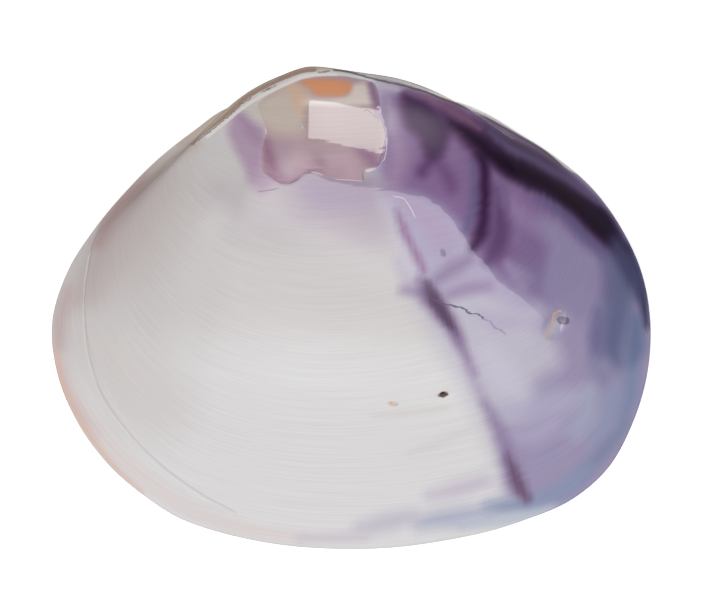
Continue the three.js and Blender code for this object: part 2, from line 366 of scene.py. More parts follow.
OUTER_BASE = (236, 234, 235)
PALE_FRONT = [
    (AREA, (222, 217, 216), 1.0, 42, [
        (40, 330), (90, 200), (200, 110), (330, 120), (420, 200), (450, 330), (380, 338), (260, 336),
        (150, 345), (80, 370)]),
    (AREA, (227, 221, 219), 0.8, 30, [
        (84, 330), (150, 340), (190, 400), (170, 440), (120, 430), (90, 390)]),
    # darker and pinker towards the upper left: partly the shell's pinkish tint, partly painted shade
    (AREA, (211, 202, 200), 0.9, 30, [
        (96, 290), (110, 236), (150, 180), (190, 160), (190, 200), (150, 270)]),
    (AREA, (203, 189, 188), 1.0, 22, [
        (70, 300), (92, 244), (120, 200), (150, 168), (166, 172), (150, 205), (128, 240), (106, 272),
        (92, 300)]),
    (LINE, (191, 158, 155), 0.9, 9, [
        (98, 244, 3), (108, 224, 5), (120, 206, 6), (134, 192, 5), (146, 178, 2)]),
    (LINE, (212, 190, 176), 0.7, 8, [(150, 176, 3), (172, 158, 4), (196, 144, 4)]),
    # the lilac wash under the beak
    (AREA, (201, 192, 197), 1.0, 26, [
        (215, 190), (240, 185), (300, 175), (370, 180), (410, 230), (412, 268), (370, 262), (300, 244),
        (240, 232)]),
    (AREA, (180, 164, 181), 0.95, 22, [
        (282, 180), (300, 172), (370, 178), (392, 196), (394, 228), (372, 236), (330, 224), (300, 214)]),
    (AREA, (173, 153, 180), 0.9, 14, [
        (305, 176), (365, 180), (384, 196), (372, 208), (345, 210), (312, 204)]),
    # last season's rim, outside the ledge
    (LINE, (212, 192, 190), 0.95, 9, [(68, 292, 6), (60, 318, 7), (58, 346, 6)]),
    (LINE, (228, 206, 202), 0.95, 9, [(58, 360, 5), (66, 388, 6), (80, 414, 6), (96, 434, 5)]),
    (LINE, (236, 224, 223), 0.9, 10, [
        (96, 430, 5), (120, 456, 6), (150, 484, 6), (190, 510, 6), (240, 528, 6), (300, 538, 6)]),
    # a salmon line along the lower left edge: painted glow of light shining through the thin margin
    (LINE, (236, 198, 182), 0.85, 4, [
        (55, 344, 1), (60, 376, 2), (72, 406, 2), (90, 436, 2), (116, 468, 2), (142, 492, 1)]),
]
VIOLET_BACK = [
    (AREA, (203, 197, 214), 1.0, 20, [
        (384, 190), (398, 240), (408, 280), (424, 318), (444, 352), (464, 384), (478, 412), (490, 440),
        (500, 468), (512, 500), (600, 500), (640, 380), (600, 250), (500, 180), (400, 150)]),
    (AREA, (170, 158, 192), 1.0, 14, [
        (372, 150), (384, 190), (400, 225), (416, 262), (436, 290), (470, 282), (500, 300), (530, 322),
        (556, 344), (560, 366), (540, 378), (532, 400), (524, 420), (505, 428), (500, 446), (508, 470),
        (520, 500), (600, 500), (680, 380), (640, 240), (560, 150), (470, 80), (380, 80)]),
    (LINE, (193, 184, 209), 0.95, 10, [(480, 314, 4), (500, 322, 10), (520, 320, 8), (538, 312, 6)]),
    (LINE, (211, 206, 223), 0.95, 14, [(486, 352, 8), (500, 372, 16), (512, 388, 14), (522, 398, 6)]),
    (LINE, (190, 185, 213), 0.9, 14, [(508, 410, 6), (530, 412, 12), (560, 402, 14), (580, 396, 8)]),
    (LINE, (204, 198, 216), 0.85, 6, [(558, 298, 3), (568, 311, 5), (558, 325, 6), (546, 338, 3)]),
    (LINE, (186, 178, 210), 0.9, 12, [(516, 438, 6), (532, 436, 9), (552, 426, 9)]),
    (LINE, (166, 160, 195), 0.9, 14, [(536, 466, 8), (564, 448, 8)]),
    # between the two edges of the mirrored panels: partly the shell's violet, partly painted reflection of
    # the panels
    (LINE, (172, 148, 186), 0.95, 10, [(404, 200, 4), (420, 214, 10), (438, 232, 12), (446, 250, 9)]),
    (LINE, (192, 182, 203), 0.9, 8, [(398, 262, 4), (405, 276, 5), (410, 288, 4)]),
    (LINE, (126, 100, 146), 0.9, 9, [(438, 278, 4), (454, 268, 7), (468, 260, 5)]),
    (LINE, (148, 122, 168), 0.9, 9, [(450, 294, 5), (468, 288, 7), (488, 286, 5)]),
]
DARK_BACK = [
    (AREA, (138, 106, 154), 1.0, 9, [
        (386, 100), (440, 96), (480, 116), (540, 150), (600, 210), (628, 268), (622, 300), (600, 300),
        (580, 284), (560, 300), (540, 296), (516, 286), (492, 268), (472, 246), (458, 222), (440, 205),
        (420, 194), (396, 186), (384, 160)]),
    (LINE, (170, 142, 178), 0.95, 12, [(394, 134, 6), (398, 152, 11), (396, 170, 11), (390, 188, 7)]),
    (LINE, (180, 164, 188), 0.9, 8, [(388, 100, 2), (391, 114, 5), (391, 126, 6)]),
    (LINE, (205, 191, 202), 0.9, 4, [(384, 86, 3), (398, 90, 2)]),
    (LINE, (156, 132, 175), 0.95, 12, [(510, 198, 4), (520, 214, 10), (536, 226, 10), (548, 230, 8)]),
    (AREA, (156, 146, 184), 0.95, 12, [
        (540, 220), (558, 222), (584, 244), (604, 262), (604, 300), (590, 318), (566, 318), (545, 300),
        (528, 286), (508, 270), (516, 264), (536, 270), (546, 250)]),
    (LINE, (168, 152, 190), 0.85, 7, [(506, 262, 2), (514, 274, 6), (522, 286, 5)]),
    (LINE, (138, 118, 164), 0.85, 10, [(516, 238, 5), (530, 254, 7), (538, 270, 6), (538, 286, 4)]),
    (LINE, (98, 68, 114), 0.95, 9, [
        (498, 190, 3), (500, 212, 6), (500, 230, 9), (496, 248, 9), (488, 260, 5)]),
    (LINE, (130, 106, 150), 0.9, 6, [(500, 180, 3), (504, 194, 5), (504, 206, 3)]),
    (LINE, (100, 94, 138), 0.85, 6, [(472, 160, 2), (474, 190, 3), (472, 212, 4), (466, 230, 3)]),
    (LINE, (44, 8, 54), 0.95, 7, [
        (468, 130, 3), (478, 148, 5), (484, 168, 5), (485, 190, 5), (484, 212, 5), (481, 232, 6),
        (473, 247, 4)]),
    (LINE, (110, 70, 114), 0.95, 8, [(404, 96, 3), (408, 110, 6), (414, 124, 7)]),
    (LINE, (92, 46, 104), 0.95, 9, [
        (422, 108, 4), (430, 128, 7), (434, 146, 7), (430, 160, 5), (422, 172, 4)]),
    (LINE, (112, 72, 124), 0.9, 9, [(438, 160, 4), (446, 174, 6), (452, 188, 5)]),
    (AREA, (66, 44, 82), 0.95, 7, [
        (470, 122), (486, 124), (510, 138), (545, 156), (572, 176), (600, 206), (622, 240), (634, 276),
        (628, 284), (616, 262), (596, 236), (574, 212), (548, 196), (520, 184), (494, 166), (474, 146)]),
    (AREA, (96, 56, 104), 0.9, 7, [
        (440, 103), (470, 115), (486, 128), (484, 150), (470, 152), (456, 138), (444, 124)]),
    (LINE, (44, 40, 76), 0.9, 6, [(627, 248, 4), (637, 274, 4), (643, 300, 4), (646, 326, 3)]),
    (AREA, (62, 20, 74), 0.9, 8, [
        (404, 96), (420, 98), (440, 112), (450, 128), (444, 152), (430, 160), (420, 140), (408, 124)]),
    (LINE, (32, 2, 38), 1.0, 9, [
        (452, 124, 2), (466, 132, 4), (480, 143, 6), (494, 156, 6), (512, 167, 9), (532, 177, 9),
        (550, 186, 9), (568, 198, 10), (584, 210, 12), (598, 224, 12), (608, 236, 8)]),
    (LINE, (30, 8, 48), 0.9, 7, [(590, 206, 5), (604, 221, 7), (616, 238, 6), (624, 250, 4)]),
    (LINE, (104, 88, 132), 0.9, 5, [
        (490, 132, 2), (512, 149, 4), (532, 158, 4), (548, 168, 4), (566, 178, 4), (584, 191, 4),
        (598, 202, 3)]),
    (LINE, (98, 92, 140), 0.8, 7, [
        (538, 198, 2), (554, 207, 4), (572, 222, 5), (586, 238, 5), (604, 254, 4)]),
    (LINE, (134, 96, 122), 0.8, 5, [(410, 92, 2), (436, 102, 3), (462, 117, 4), (480, 128, 2)]),
]
# along the back edge: partly the shell's own blue and violet, partly painted reflection in bluish streaks
# and painted shade where the edge curves down
BACK_EDGE_TINTS_SHEEN_AND_SHADE = [
    (LINE, (106, 112, 152), 0.95, 14, [
        (612, 262, 8), (620, 290, 14), (616, 320, 16), (612, 345, 14), (618, 362, 6)]),
    (LINE, (122, 116, 162), 0.9, 10, [(598, 312, 4), (597, 335, 8), (596, 352, 5)]),
    (LINE, (140, 140, 178), 0.9, 12, [(594, 364, 4), (604, 378, 6)]),
    (LINE, (72, 74, 116), 0.95, 10, [(616, 242, 5), (630, 268, 8), (640, 292, 7)]),
    (LINE, (110, 124, 164), 0.95, 10, [(636, 320, 6), (636, 346, 10), (632, 364, 6)]),
    (LINE, (132, 148, 184), 0.95, 12, [(632, 376, 8), (630, 396, 8), (622, 416, 6)]),
    (LINE, (156, 163, 196), 0.95, 12, [(612, 396, 8), (606, 420, 9), (596, 440, 8)]),
    (LINE, (136, 146, 178), 0.9, 8, [(626, 424, 4), (612, 442, 6), (598, 458, 6), (580, 478, 5)]),
    (LINE, (178, 181, 209), 0.9, 12, [(590, 392, 6), (588, 412, 10), (576, 430, 9)]),
    (LINE, (148, 160, 193), 0.95, 10, [(588, 468, 6), (566, 488, 9), (544, 498, 8), (528, 504, 6)]),
    (LINE, (154, 164, 195), 0.95, 9, [(534, 502, 5), (510, 506, 8), (490, 508, 7)]),
    (LINE, (186, 189, 211), 0.95, 12, [(486, 512, 7), (460, 517, 9), (436, 520, 8), (420, 524, 5)]),
    (LINE, (198, 205, 221), 0.95, 6, [(460, 526, 3), (500, 521, 4), (530, 515, 4), (552, 508, 3)]),
    (LINE, (206, 200, 216), 0.9, 12, [(412, 516, 6), (388, 522, 8), (360, 528, 5)]),
    (LINE, (222, 213, 222), 0.9, 8, [(300, 538, 4), (330, 538, 5), (364, 536, 5)]),
    (LINE, (211, 200, 217), 0.9, 12, [(430, 496, 4), (456, 490, 7), (482, 482, 7)]),
    (LINE, (228, 219, 217), 0.7, 6, [(372, 416, 1), (400, 413, 3), (446, 408, 2)]),
    (LINE, (228, 223, 224), 0.7, 6, [(408, 454, 2), (440, 442, 4), (470, 430, 2)]),
]
# the dark ray that runs down from the beak
RAY = [
    (LINE, (122, 66, 126), 0.85, 5, [
        (396, 210, 1), (401, 222, 3), (405, 232, 4), (411, 245, 3), (419, 261, 3.5), (424, 271, 2)]),
    (LINE, (150, 126, 166), 0.85, 9, [(402, 290, 2), (412, 291, 4), (424, 294, 5)]),
    (LINE, (116, 86, 132), 0.95, 9, [
        (420, 280, 3), (428, 292, 8), (438, 308, 8), (450, 323, 6), (459, 340, 4)]),
    (LINE, (62, 18, 72), 1.0, 5, [
        (427, 282, 2), (432, 294, 5), (438, 305, 6), (446, 318, 4.5), (452, 327, 3), (457, 335, 1)]),
    (LINE, (140, 112, 156), 0.9, 7, [(455, 334, 3), (462, 348, 4), (468, 361, 3), (474, 374, 2)]),
    (LINE, (182, 166, 196), 0.8, 8, [(468, 366, 3), (477, 386, 4), (485, 402, 4)]),
    (LINE, (152, 132, 172), 0.9, 9, [
        (485, 404, 2), (492, 416, 5), (500, 432, 6), (506, 450, 6), (511, 466, 8), (516, 482, 9),
        (524, 496, 6)]),
    (LINE, (112, 84, 116), 0.95, 6, [(506, 454, 1), (513, 470, 4), (519, 486, 5), (527, 499, 3)]),
]
BEAK_TINTS = [
    (AREA, (216, 208, 202), 0.9, 8, [
        (236, 112), (250, 103), (264, 96), (280, 86), (290, 90), (280, 120), (262, 130), (250, 122)]),
    (AREA, (190, 162, 188), 0.95, 7, [
        (236, 110), (252, 121), (264, 129), (268, 150), (266, 170), (275, 182), (262, 194), (249, 184),
        (244, 168), (234, 148), (228, 130)]),
    (LINE, (178, 146, 176), 0.8, 7, [(242, 118, 2), (250, 130, 5), (258, 140, 4)]),
]
OUTER_STROKES = PALE_FRONT + VIOLET_BACK + DARK_BACK + BACK_EDGE_TINTS_SHEEN_AND_SHADE + RAY + BEAK_TINTS

# The layer that shows in the worn patch on the beak.
WORN_BASE = (192, 162, 172)
WORN_STROKES = [
    (LINE, (208, 178, 194), 0.8, 10, [(330, 160, 5), (346, 160, 8), (352, 172, 6)]),
    (LINE, (158, 114, 144), 0.95, 9, [(266, 142, 3), (270, 160, 6), (278, 176, 6), (296, 178, 4)]),
    (LINE, (186, 162, 176), 0.9, 8, [(284, 148, 4), (286, 164, 6), (290, 172, 3)]),
    (LINE, (170, 130, 150), 0.8, 10, [(300, 172, 4), (318, 166, 6)]),
    (LINE, (160, 116, 150), 0.95, 8, [(360, 148, 3), (370, 156, 6), (376, 164, 4)]),
    (AREA, (216, 200, 188), 1.0, 12, [
        (240, 112), (262, 94), (290, 82), (312, 98), (308, 116), (300, 134), (276, 134), (262, 126)]),
    (LINE, (228, 192, 166), 0.9, 8, [(290, 86, 6), (300, 98, 8), (302, 110, 5)]),
    (AREA, (182, 156, 157), 0.9, 5, [
        (309, 104), (370, 106), (384, 124), (378, 148), (330, 142), (309, 140)]),
    (AREA, (230, 216, 208), 1.0, 4, [(306, 99), (345, 96), (354, 84), (372, 84), (370, 104), (306, 103)]),
    (AREA, (236, 158, 108), 1.0, 4, [
        (302, 80), (315, 78.5), (335, 79), (350, 82), (351.5, 86), (348, 92), (340, 95.5), (326, 95.5),
        (315, 94), (309, 88)]),
    (LINE, (140, 102, 142), 0.95, 5, [(371, 84, 3), (374, 94, 4), (378, 106, 4), (381, 117, 2)]),
]
WORN_PATCH = [
    (266, 129), (264.6, 138), (261.7, 149.5), (260.6, 163.3), (263, 171.3), (271, 177.5), (280, 183.5),
    (289, 184), (298.5, 179.4), (305.4, 173.6), (312, 172), (319, 173), (322.6, 175.3), (328, 177),
    (335, 178.8), (349, 179.4), (363.3, 180.5), (363, 172.5), (371, 170.7), (377.7, 166.7), (380, 161),
    (384.6, 142.6), (385.7, 134.6), (383, 124), (380, 114), (380, 100), (376, 86), (366, 80), (337, 75.5),
    (311, 76), (300, 79), (285, 86), (270, 94), (258, 104), (262, 118),
]


def painted(at, base, strokes):
    """The sRGB colour of each point once the strokes are laid over a base, one after the other."""
    colour = np.tile(np.array(base, float), (len(at), 1))
    for kind, tint, strength, soft, points in strokes:
        path = curve(points, closed=kind == AREA)
        some = near_box(at, path, soft + (path[:, 2].max() if kind == LINE else 0))
        distance, _, _, half = nearest(at[some], path)
        if kind == AREA:
            distance = np.where(inside(at[some], path), -distance, distance)
        cover = strength * (1 - smooth(-soft, soft, distance - half))
        colour[some] = mix(colour[some], np.array(tint, float), cover[:, None])
    return colour


def along_growth_lines():
    """The direction of the growth line through each outer point, in photo pixels."""
    step = 1e-3
    ahead = photo_pixels(grown(outer_growth, inset(outer_place + step, 0)))
    along = ahead - outer_pixel
    return along / np.maximum(np.linalg.norm(along, axis=1, keepdims=True), 1e-9)


# The outer face that the photograph doesn't show, below the beak and the hinge line, has a plain tint.
TURNED_FRONT = np.array([218.0, 202.0, 190.0])
TURNED_BACK = np.array([222.0, 216.0, 210.0])
TURNED_MIDDLE = (-6.0, 12.0)  # mm along the hinge line between which one tint gives way to the other
TURNED_AWAY = (-0.1, 0.1)  # upward parts of the normal between which the marks fade in


def turned_paint(x):
    return mix(TURNED_FRONT, TURNED_BACK, smooth(*TURNED_MIDDLE, x)[:, None])


turned_away = 1 - smooth(*TURNED_AWAY, outer_normal[:, 2])
FIBRE_SHIFT = 1.0  # px that the strokes are pulled about along the growth lines, in fine fibres
FIBRES = (130, 8)  # noise steps per unit of growth and once round
FIBRE_SEED = 3
fibre = noise(np.column_stack([outer_growth, outer_place]) * FIBRES, FIBRE_SEED)
brushed = outer_pixel + along_growth_lines() * (fibre * FIBRE_SHIFT)[:, None]
outer_paint = painted(brushed, OUTER_BASE, OUTER_STROKES)
paint = mix(outer_paint, turned_paint(outer_smooth[:, 0]), turned_away[:, None])
worn_paint = painted(brushed, WORN_BASE, WORN_STROKES)
worn_distance = area_distance(outer_pixel, WORN_PATCH)

# Crisp patches: what they are called, their colour, strength, feather, how toothed their edge is, and their
# closed outline.
PATCHES = [
    ("back_sliver", (232, 227, 220), 0.95, 0.8, 0.3, [
        (335, 68), (362, 72), (383, 78), (405, 84), (427, 91), (438, 96), (459, 104), (480, 113),
        (497, 122), (520, 135), (545, 150), (572, 172), (600, 176), (540, 120), (470, 80), (400, 60),
        (340, 55)]),
    ("front_strip", (186, 146, 120), 0.95, 0.6, 0.3, [
        (186, 147), (206, 132.5), (225, 118), (242, 103), (254, 95), (276, 83.5), (290, 77.5),
        (303, 73), (318, 70.5), (318, 60), (290, 55), (180, 130)]),
    ("front_rim", (220, 205, 194), 0.95, 1.2, 0.3, [
        (184, 148), (196, 139), (208, 128.5), (225, 113.5), (242, 98.5), (254, 90.5), (276, 79.5),
        (290, 73.5), (303, 69.5), (318, 67), (318, 60), (290, 55), (180, 130)]),
    ("beak_tip", (240, 216, 200), 0.8, 1.0, 0.2, [
        (317, 60), (317, 72), (323, 73), (330, 71), (331, 60)]),
    ("grey_spot", (158, 150, 176), 0.95, 1.2, 0.1, [
        (442, 252), (444, 248), (449, 247), (452.6, 250), (452, 254), (447, 256), (443, 255)]),
    ("brown_pit", (72, 32, 10), 1.0, 0.8, 0.3, [
        (437, 396), (441, 392.6), (446, 392), (449, 394), (447, 397), (442, 398.4)]),
    ("tan_pits", (214, 186, 150), 0.8, 1.0, 0.3, [
        (386, 403), (391, 401.6), (396, 402.6), (400, 405), (395, 406.4), (389, 405.6)]),
    ("chip_hole", (118, 104, 132), 0.9, 0.8, 0.3, [
        (558, 319), (562, 316.6), (568, 317.4), (570.4, 321), (567, 324.4), (561, 324)]),
]

# Fine lines: what they are called, their colour, strength, half width, how jagged they are, and paths.
LINES = [
    # painted highlights: along the worn patch's edges and a crack, two spots on the beak, and a streak at
    # the mirrored panels' edge
    ("crack_highlights", (246, 238, 240), 0.6, 0.5, 0.3, [
        [(312, 172.3), (319, 173.4), (322.6, 175.6)], [(335, 179.2), (349, 180), (363, 181)],
        [(386.9, 139), (386.5, 149), (384.6, 158.7), (381, 163)], [(265.5, 128), (266, 133.5)],
        [(301.8, 125), (303, 128)],
        [(393.7, 196.4), (400.8, 197.6), (405.6, 200.6), (411, 209), (415.3, 217.6)],
    ]),
    ("ledge_light", (240, 234, 232), 0.6, 0.7, 0.2, [
        [(90, 250), (87, 260), (82.7, 295), (84.8, 347.5), (99.5, 396.5), (127.5, 435), (159, 466.5),
         (197.5, 494.5), (236, 515.5), (262, 525)],
    ]),
    ("ledge_shade", (196, 184, 181), 0.35, 1.1, 0.2, [
        [(91.5, 252), (88.5, 262), (84.5, 295), (86.8, 346), (101.5, 395), (129.3, 433), (160.5, 464.3),
         (198.6, 492.3), (237, 513)],
    ]),
    # dark lines along the worn patch's edges and a crack: partly the cracks' own dark lines, partly painted
    # shade along the step
    ("crack_lines_and_shade", (110, 74, 100), 0.6, 0.5, 0.5, [
        [(380, 114), (383, 124), (385.7, 134.6), (384.6, 142.6), (380, 161), (377, 166)],
        [(362.8, 172.5), (363.3, 180.5)], [(257, 191.6), (271, 190), (280, 187.8)],
        [(289, 184), (298.5, 179.6)], [(305, 173.8), (312, 172)],
        [(364.5, 110.5), (367, 109), (369.6, 111), (377.7, 117.4)],
    ]),
    ("chip_tan", (222, 190, 140), 0.8, 1.0, 0.8, [
        [(554.7, 312), (553.5, 325.5), (549, 333), (546, 338)], [(556, 314), (559, 311), (562, 311.5)],
    ]),
    # painted shade: the dark gap between two mirrored panels, fading out at its end
    ("panel_gap_shade", (84, 58, 108), 0.85, 0.9, 1.4, [
        [(433.5, 300), (445.6, 304.8), (452.9, 306), (462.6, 308.5), (469.8, 312.7), (478.3, 314.5),
         (484.4, 319.4)],
    ]),
    ("panel_gap_shade_end", (150, 136, 172), 0.7, 0.9, 1.4, [
        [(484.4, 319.4), (490.5, 321.8), (494, 326.7), (501.4, 330.3), (506, 335)],
    ]),
    ("back_line", (104, 94, 78), 0.85, 1.0, 0.5, [
        [(333, 70), (349, 72), (374, 79), (405, 86), (427, 92.5), (438, 97), (459, 105), (480, 115),
         (497, 124), (520, 137), (545, 152), (562, 166)],
    ]),
    ("front_line", (96, 82, 74), 0.7, 0.6, 1.2, [
        [(192, 145), (206, 134), (225, 119), (242, 104), (252, 97.5)], [(262, 92), (276, 85.5)],
        [(317, 72.5), (330, 71.5)],
    ]),
    # painted highlight along the ridge at the beak's front
    ("front_ridge_highlight", (250, 244, 240), 0.85, 1.6, 0.3, [
        [(206, 138), (225, 122.5), (242, 108.5), (258, 98), (276, 88.5), (290, 82), (303, 77), (318, 74.5),
         (337, 74)],
    ]),
]

# Where the polish has gone from the dark back, and the mirrored softbox with it.
DULL_AREA = [
    (379, 98), (382, 114), (385, 124), (387, 134), (386.5, 142), (382, 160), (380, 172), (384, 186),
    (391, 191), (400.8, 192), (409, 195), (421, 196.4), (430, 199), (432, 203.6), (437, 205),
    (442, 209), (453, 220), (457.7, 228.5), (464, 236),
    (468.6, 244), (474.7, 252.7), (490, 262), (520, 240), (520, 180), (470, 110), (420, 88), (380, 82),
]
DULL_EDGE = (0.5, 1.3, 1.0)  # feather, how toothed, strength
LINE_REACH = 6.0  # px to each side of a line within which its distance is kept
LINE_MARGIN = 2.0
LINE_FADE = 0.6  # share of the reach from which a line fades


def line_group(at, paths):
    """Signed distance to the nearest of some open paths, then 1 beside it and 0 past its ends."""
    distance = np.full(len(at), FAR)
    signed = np.full(len(at), FAR)
    beside = np.zeros(len(at))
    for points in paths:
        path = curve(points)
        some = near_box(at, path, LINE_REACH + LINE_MARGIN)
        gap, side, at_length, _ = nearest(at[some], path)
        total = np.hypot(*np.diff(path[:, :2], axis=0).T).sum()
        past = (at_length <= TINY) | (at_length >= total - TINY)
        shown = np.where(past, 0, 1 - smooth(LINE_REACH * LINE_FADE, LINE_REACH, gap))
        nearer = gap < distance[some]
        chosen = some[nearer]
        distance[chosen] = gap[nearer]
        signed[chosen] = (gap * side)[nearer]
        beside[chosen] = shown[nearer]
    return np.column_stack([np.clip(signed, -LINE_REACH, LINE_REACH), beside, np.zeros(len(at))])


# Relief of the outer face, as the depth below the smooth spiral.
WORN_DEPTH = 0.1
WORN_SLOPE = (-1.8, 0.5)  # px from the patch's edge between which the surface steps up
PITS = [  # middle in photo pixels, half sizes in pixels along and across, angle, depth
    ((555, 325), (15, 9), -62, 0.45), ((443, 395), (7, 3.2), -14, 0.4), ((393, 404), (6, 1.8), 0, 0.12),
    ((447, 252), (5, 4), 0, 0.06),
]
SWELL = 0.003  # unevenness from growth line to growth line
SWELLS = (34, 2)  # noise steps per unit of growth and once round
SWELL_SEED = 11


def ledge_growth(places):
    at, growth = np.array(LEDGE).T
    return np.interp(places, at, growth, left=1, right=1)


def pit_share(at, middle, half, angle):
    """1 in the middle of a pit, 0 from its rim out."""
    turned = math.radians(angle)
    away = at - middle
    along = away @ (math.cos(turned), math.sin(turned)) / half[0]
    across = away @ (-math.sin(turned), math.cos(turned)) / half[1]
    return np.clip(1 - along**2 - across**2, 0, 1) ** 0.5


ledge = ledge_growth(outer_place)
last_season = np.clip((1 - outer_growth) / np.maximum(1 - ledge, TINY), 0, 1)
outside_ledge = smooth(-LEDGE_RUN / 2, LEDGE_RUN / 2, outer_growth - ledge)
relief = LEDGE_HEIGHT * np.clip((1 - ledge) / LEDGE_FULL, 0, 1) * last_season * outside_ledge
relief += WORN_DEPTH * (1 - smooth(*WORN_SLOPE, worn_distance))
for middle, half, angle, depth in PITS:
    relief += depth * pit_share(outer_pixel, middle, half, angle)
relief += SWELL * noise(np.column_stack([outer_growth, outer_place]) * SWELLS, SWELL_SEED)
outer_points = outer_smooth - outer_normal * relief[:, None]

# The closed surface, and the Blender mesh.
inner = np.concatenate(inner_rings())
under = np.concatenate(underside_rings())
sink_below_teeth(inner)
sink_below_teeth(under)
hollow_tip = inner[:COLUMNS].mean(axis=0) + (0, HOLLOW_CAP, 0)
beak_tip = outer_points[-COLUMNS:].mean(axis=0) + (0, BEAK_CAP, -BEAK_CAP)
points = np.concatenate([inner, under, outer_points, [hollow_tip, beak_tip]])
RINGS = (len(points) - 2) // COLUMNS
first_outer = len(inner) + len(under)

column = np.arange(COLUMNS)
beside = (column + 1) % COLUMNS
ring = np.arange(RINGS - 1)[:, None] * COLUMNS
quads = np.stack([
    ring + column, ring + beside, ring + COLUMNS + beside, ring + COLUMNS + column,
], axis=-1).reshape(-1, 4)
last = (RINGS - 1) * COLUMNS
caps = np.concatenate([
    np.stack([np.full(COLUMNS, len(points) - 2), beside, column], axis=-1),
    np.stack([np.full(COLUMNS, len(points) - 1), last + column, last + beside], axis=-1),
])
centre = (points.min(axis=0) + points.max(axis=0)) / 2
shift = np.array([-centre[0], -centre[1], 0])

mesh = bpy.data.meshes.new("left_valve_shell")
mesh.from_pydata(((points + shift) * METRES).tolist(), [], quads.tolist() + caps.tolist())
mesh.shade_smooth()
OUTSIDE, INSIDE = 0, 1
POLISHED_UNDER = 2  # rings of the underside that are polished with the outside
quad_ring = np.repeat(np.arange(RINGS - 1), COLUMNS)
slot_of = np.where(quad_ring >= first_outer // COLUMNS - POLISHED_UNDER, OUTSIDE, INSIDE)
slot_of = np.concatenate([slot_of, np.full(COLUMNS, INSIDE), np.full(COLUMNS, OUTSIDE)])
mesh.polygons.foreach_set("material_index", slot_of.astype(np.int32))


def linear(colour):
    """sRGB values, 0 to 255, as linear light."""
    share = np.asarray(colour, float) / 255
    return np.where(share <= 0.04045, share / 12.92, ((share + 0.055) / 1.055) ** 2.4)


def whole(outer_values, elsewhere):
    """One value per vertex, from the outer face's values and one for everything else."""
    outer_values = np.asarray(outer_values, float)
    found = np.empty((len(points), *outer_values.shape[1:]))
    found[:] = elsewhere
    found[first_outer:-2] = outer_values
    found[-1] = outer_values[-COLUMNS:].mean(axis=0)
    return found


def store(name, kind, values):
    attribute = mesh.attributes.new(name, kind, "POINT")
    field = {"FLOAT": "value", "FLOAT_VECTOR": "vector", "FLOAT_COLOR": "color"}[kind]
    attribute.data.foreach_set(field, np.asarray(values, np.float32).ravel())


def store_colour(name, srgb):
    values = linear(srgb)
    store(name, "FLOAT_COLOR", np.column_stack([values, np.ones(len(values))]))


NACRE = np.array([238.0, 233.0, 236.0])
NACRE_VIOLET = np.array([168.0, 148.0, 190.0])
NACRE_HINGE = np.array([206.0, 184.0, 206.0])
PALLIAL = np.array([206.0, 200.0, 214.0])
SCAR = PALLIAL * 0.94
SCAR_EDGE = (0.0, 0.9)
VIOLET_SIDE = (6.0, 30.0)  # mm towards the back between which the nacre turns violet
HINGE_TINT = (0.12, 0.34)  # growths between which the hinge's tint fades
SCARS = [((-26.0, 3.0), (4.2, 6.2), 12), ((25.0, 5.0), (5.0, 6.0), -20)]  # middle, half sizes, angle
SCAR_SHARE = 0.6
PALLIAL_LINE = (0.8, 0.012)  # growth, half width
PALLIAL_SHARE = 0.35
VIOLET_SHARE = 0.75
VIOLET_SLANT = 0.3
HINGE_SHARE = 0.7


def inside_paint(at, growth):
    """Nacre: white, violet at the back and the hinge, with two muscle scars and the line between them."""
    violet = smooth(*VIOLET_SIDE, at[:, 0] - at[:, 1] * VIOLET_SLANT) * VIOLET_SHARE
    colour = mix(NACRE, NACRE_VIOLET, violet[:, None])
    hinge = (1 - smooth(*HINGE_TINT, growth)) * HINGE_SHARE
    colour = mix(colour, NACRE_HINGE, hinge[:, None])
    line, width = PALLIAL_LINE
    pallial = np.exp(-((growth - line) / width) ** 2) * PALLIAL_SHARE
    colour = mix(colour, PALLIAL, pallial[:, None])
    for middle, half, angle in SCARS:
        scar = smooth(*SCAR_EDGE, pit_share(at, middle, half, angle)) * SCAR_SHARE
        colour = mix(colour, SCAR, scar[:, None])
    return colour


rim_paint = paint[:COLUMNS]
inner_paint = inside_paint(inner[:, :2], np.repeat(inner_growths, COLUMNS))
to_rim = np.linspace(0, 1, len(under) // COLUMNS)[:, None, None]
under_paint = mix(inner_paint[-COLUMNS:], rim_paint, to_rim).reshape(-1, 3)
all_paint = whole(paint, NACRE)
all_paint[:first_outer] = np.concatenate([inner_paint, under_paint])
all_paint[-2] = inner_paint[0]
store_colour("paint", all_paint)
store_colour("worn_paint", whole(worn_paint, NACRE))
store("worn_edge", "FLOAT", whole(worn_distance, REACH))
store("dull", "FLOAT", whole(area_distance(outer_pixel, DULL_AREA), REACH))
store("grain", "FLOAT_VECTOR", whole(
    np.column_stack([outer_growth, outer_place, outer_growth * 0]), (1, 0, 0)))
for name, _, _, _, _, outline in PATCHES:
    store(name, "FLOAT", whole(area_distance(outer_pixel, outline) + turned_away * REACH, REACH))
for name, _, _, _, _, paths in LINES:
    group = line_group(outer_pixel, paths)
    group[:, 1] *= 1 - turned_away
    store(name, "FLOAT_VECTOR", whole(group, (LINE_REACH, 0, 0)))

valve = bpy.data.objects.new("left_valve_shell", mesh)
bpy.context.scene.collection.objects.link(valve)


